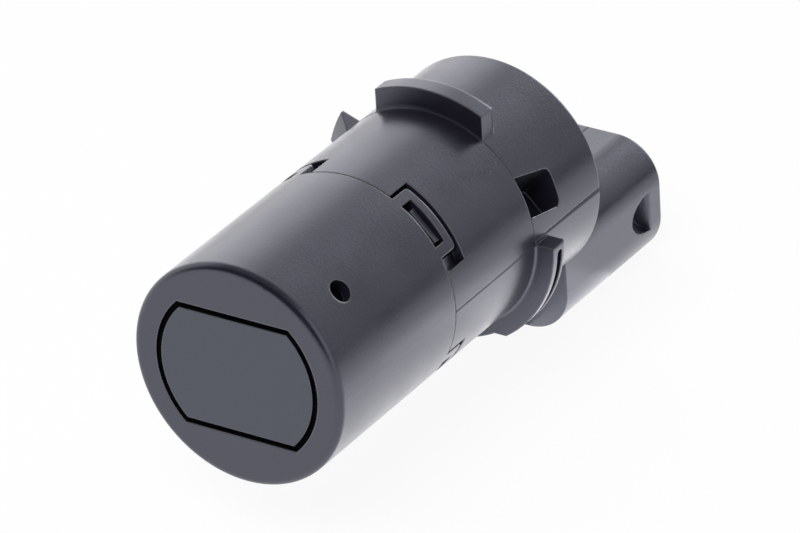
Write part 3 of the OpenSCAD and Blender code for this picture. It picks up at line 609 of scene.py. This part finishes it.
class SENSOR_OT_winding(bpy.types.Operator):
    """Wind the transformer's coil, turn by turn"""
    bl_idname = "sensor.winding"
    bl_label = "Winding"

    def execute(self, context):
        low, high = (Vector(corner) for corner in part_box("transformer_winding"))
        size = high - low
        wire = finish_of(context).wire_size * MM
        coil = grown("winding_turns", wire_turns_tree(), {
            "Width": size.x, "Depth": size.y, "Wire": wire, "Corner": 2 * wire,
            "Turns": int(size.z / wire), "Enamel": enamelled_wire("copper_enamel", (0.62, 0.24, 0.10)),
        }, (low + high) / 2)
        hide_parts("transformer_winding")
        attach(coil, BODY)
        return {"FINISHED"}


class SENSOR_OT_terminals(bpy.types.Operator):
    """Finish the plug terminals as tin-plated brass"""
    bl_idname = "sensor.terminals"
    bl_label = "Terminals"

    def execute(self, context):
        dress(plated_metal("terminal_metal", (0.78, 0.72, 0.55), roughness=0.26), "supply_terminal", "data_terminal",
              "earth_terminal")
        return {"FINISHED"}


def area_lamp(name, place, aim, size, power):
    """A soft rectangular lamp that looks at a point."""
    lamp = bpy.data.lights.new(name, "AREA")
    lamp.shape = "RECTANGLE"
    lamp.size, lamp.size_y = size
    lamp.energy = power
    made = bpy.data.objects.new(name, lamp)
    made.location = place
    made.rotation_mode = "QUATERNION"
    made.rotation_quaternion = (Vector(aim) - Vector(place)).to_track_quat("-Z", "Y")
    made.visible_camera = False
    bpy.context.scene.collection.objects.link(made)
    return made


def background_share(tree):
    """One for rays that see the background as the camera does, nought for rays that light the object."""
    rays = tree.nodes.new("ShaderNodeLightPath").outputs
    mirrored = maths(tree, "MAXIMUM", rays["Is Glossy Ray"], rays["Is Transmission Ray"])
    return maths(tree, "MAXIMUM", rays["Is Camera Ray"], mirrored)


def floor_material(colour):
    """A white floor that keeps the object's shadow and can be looked through from below."""
    made = bpy.data.materials.new("studio_floor")
    made.use_nodes = True
    tree = made.node_tree
    tree.nodes.remove(tree.nodes["Principled BSDF"])
    matt = add(tree, "ShaderNodeBsdfDiffuse", Color=rgba(colour))
    white = add(tree, "ShaderNodeEmission", Strength=1.0)
    lit = tree.nodes.new("ShaderNodeMixShader")
    put(tree, lit.inputs[0], maths(tree, "MULTIPLY", background_share(tree), FLOOR_WHITE))
    tree.links.new(matt.outputs[0], lit.inputs[1])
    tree.links.new(white.outputs[0], lit.inputs[2])
    under = tree.nodes.new("ShaderNodeMixShader")
    put(tree, under.inputs[0], tree.nodes.new("ShaderNodeNewGeometry").outputs["Backfacing"])
    tree.links.new(lit.outputs[0], under.inputs[1])
    tree.links.new(tree.nodes.new("ShaderNodeBsdfTransparent").outputs[0], under.inputs[2])
    tree.links.new(under.outputs[0], tree.nodes["Material Output"].inputs["Surface"])
    made.cycles.emission_sampling = "NONE"
    return made


def flag_cloth(name, grey):
    """Even grey cloth, seen only in the object's gloss."""
    made = bpy.data.materials.new(name)
    made.use_nodes = True
    shader = made.node_tree.nodes["Principled BSDF"]
    shader.inputs["Base Color"].default_value = (0, 0, 0, 1)
    shader.inputs["Specular IOR Level"].default_value = 0
    shader.inputs["Emission Color"].default_value = (1, 1, 1, 1)
    shader.inputs["Emission Strength"].default_value = grey
    made.cycles.emission_sampling = "NONE"
    return made


def sheet_mesh(name, corners, material):
    """A flat stage sheet through its corners."""
    mesh = bpy.data.meshes.new(name)
    mesh.from_pydata([tuple(c) for c in corners], [], [tuple(range(len(corners)))])
    mesh.materials.append(material)
    made = bpy.data.objects.new(name, mesh)
    bpy.context.scene.collection.objects.link(made)
    return made


# Grey sheets that only show in the gloss: their name, their grey and their corners
FLAGS = (
    ("back_flag", 0.41, [(0.62, 0.15, 0.0), (0.62, 0.62, 0.0), (-0.2, 0.62, 0.7), (-0.2, 0.15, 0.7)]),
    ("front_flag", 0.0, [(0.7, -0.45, -0.01), (-0.8, -0.45, -0.01), (-0.8, -0.45, 0.8), (0.7, -0.45, 0.8)]),
    ("top_flag", 0.2, [(0.5, -0.4, 0.65), (0.5, 0.33, 0.65), (-0.6, 0.33, 0.65), (-0.6, -0.4, 0.65)]),
    ("low_flag", 0.05, [(0.34, -0.05, -0.0186), (-0.05, 0.34, -0.0186), (-0.05, 0.34, 0.01), (0.34, -0.05, 0.01)]),
)

# Lamps aimed at the object: their name, place, side, power setting, and whether they show in the gloss
LAMPS = (
    ("key_lamp", (-0.5, 0.2, 0.65), 0.6, "key_power", False),
    ("side_lamp", (-0.5, 0.5, 0.25), 0.5, "side_power", True),
    ("back_lamp", (0.1, 0.8, 0.3), 0.5, "back_power", True),
    ("front_lamp", (0.1, -0.5, 0.7), 0.5, "front_power", False),
)

# Lit parts of the table: their name, middle, size and power setting
GLOWS = (
    ("table_glow", (0.0245, -0.011), (0.043, 0.034), "table_power"),
    ("rear_glow", (0.0245, 0.0155), (0.043, 0.019), "rear_power"),
    ("socket_glow", (0.0245, 0.0375), (0.043, 0.025), "socket_power"),
    ("left_glow", (-0.095, 0.09), (0.11, 0.14), "left_power"),
)


class SENSOR_OT_studio(bpy.types.Operator):
    """Set up the floor, the lamps, the white background and the camera"""
    bl_idname = "sensor.studio"
    bl_label = "Studio"

    def execute(self, context):
        scene = context.scene
        studio = scene.sensor_studio
        low = CAD_BOX[0].z - FLOOR_DROP
        corners = [(x * FLOOR_REACH, y * FLOOR_REACH, low) for x, y in ((-1, -1), (1, -1), (1, 1), (-1, 1))]
        sheet_mesh("studio_floor", corners, floor_material(studio.floor_colour))

        world = bpy.data.worlds.new("studio_world")
        world.use_nodes = True
        tree = world.node_tree
        surround = tree.nodes["Background"]
        surround.inputs["Color"].default_value = (1, 1, 1, 1)
        put(tree, surround.inputs["Strength"],
            ramped(tree, background_share(tree), 0.0, 1.0, studio.world_light, 1.0))
        world.cycles.sampling_method = "NONE"
        scene.world = world

        for name, grey, corners in FLAGS:
            flag = sheet_mesh(name, corners, flag_cloth(name + "_cloth", grey))
            flag.visible_camera = False
            flag.visible_diffuse = False
            flag.visible_shadow = False

        for name, place, side, power, in_gloss in LAMPS:
            lamp = area_lamp(name, place, (0, 0, 0), (side, side), getattr(studio, power))
            lamp.visible_glossy = in_gloss
        for name, (x, y), size, power in GLOWS:
            area_lamp(name, (x, y, low + TABLE_LIFT), (x, y, 1), size, getattr(studio, power))

        lens = bpy.data.cameras.new("photo_camera")
        lens.sensor_width = FILM_WIDTH
        lens.lens = studio.camera_lens
        lens.clip_start, lens.clip_end = NEAREST, FURTHEST
        camera = bpy.data.objects.new("photo_camera", lens)
        line = Vector(studio.camera_aim) - Vector(studio.camera_place)
        camera.location = studio.camera_place
        camera.rotation_mode = "QUATERNION"
        camera.rotation_quaternion = line.to_track_quat("-Z", "Y") @ Quaternion((0, 0, 1), studio.camera_roll)
        scene.collection.objects.link(camera)
        scene.camera = camera
        scene.view_settings.view_transform = "Standard"
        return {"FINISHED"}


class SENSOR_PT_panel(bpy.types.Panel):
    """Finishes, pieces and studio of the sensor"""
    bl_idname = "SENSOR_PT_panel"
    bl_label = "Parking sensor"
    bl_space_type = "VIEW_3D"
    bl_region_type = "UI"
    bl_category = "Sensor"

    def draw(self, context):
        for settings in (context.scene.sensor_finish, context.scene.sensor_studio):
            box = self.layout.box()
            for name in settings.__annotations__:
                box.prop(settings, name)
        for step in STEPS:
            self.layout.operator(step.bl_idname)


STEPS = (SENSOR_OT_studio, SENSOR_OT_shell, SENSOR_OT_sensing_unit, SENSOR_OT_electronics, SENSOR_OT_winding,
         SENSOR_OT_terminals)
CLASSES = (SensorFinish, SensorStudio, *STEPS, SENSOR_PT_panel)


def register():
    for made in CLASSES:
        bpy.utils.register_class(made)
    bpy.types.Scene.sensor_finish = bpy.props.PointerProperty(type=SensorFinish)
    bpy.types.Scene.sensor_studio = bpy.props.PointerProperty(type=SensorStudio)


def unregister():
    del bpy.types.Scene.sensor_studio
    del bpy.types.Scene.sensor_finish
    for made in reversed(CLASSES):
        bpy.utils.unregister_class(made)


def main():
    register()
    bpy.ops.sensor.studio()
    bpy.ops.sensor.shell()
    bpy.ops.sensor.sensing_unit()
    bpy.ops.sensor.electronics()
    bpy.ops.sensor.winding()
    bpy.ops.sensor.terminals()


if __name__ == "__main__":
    main()
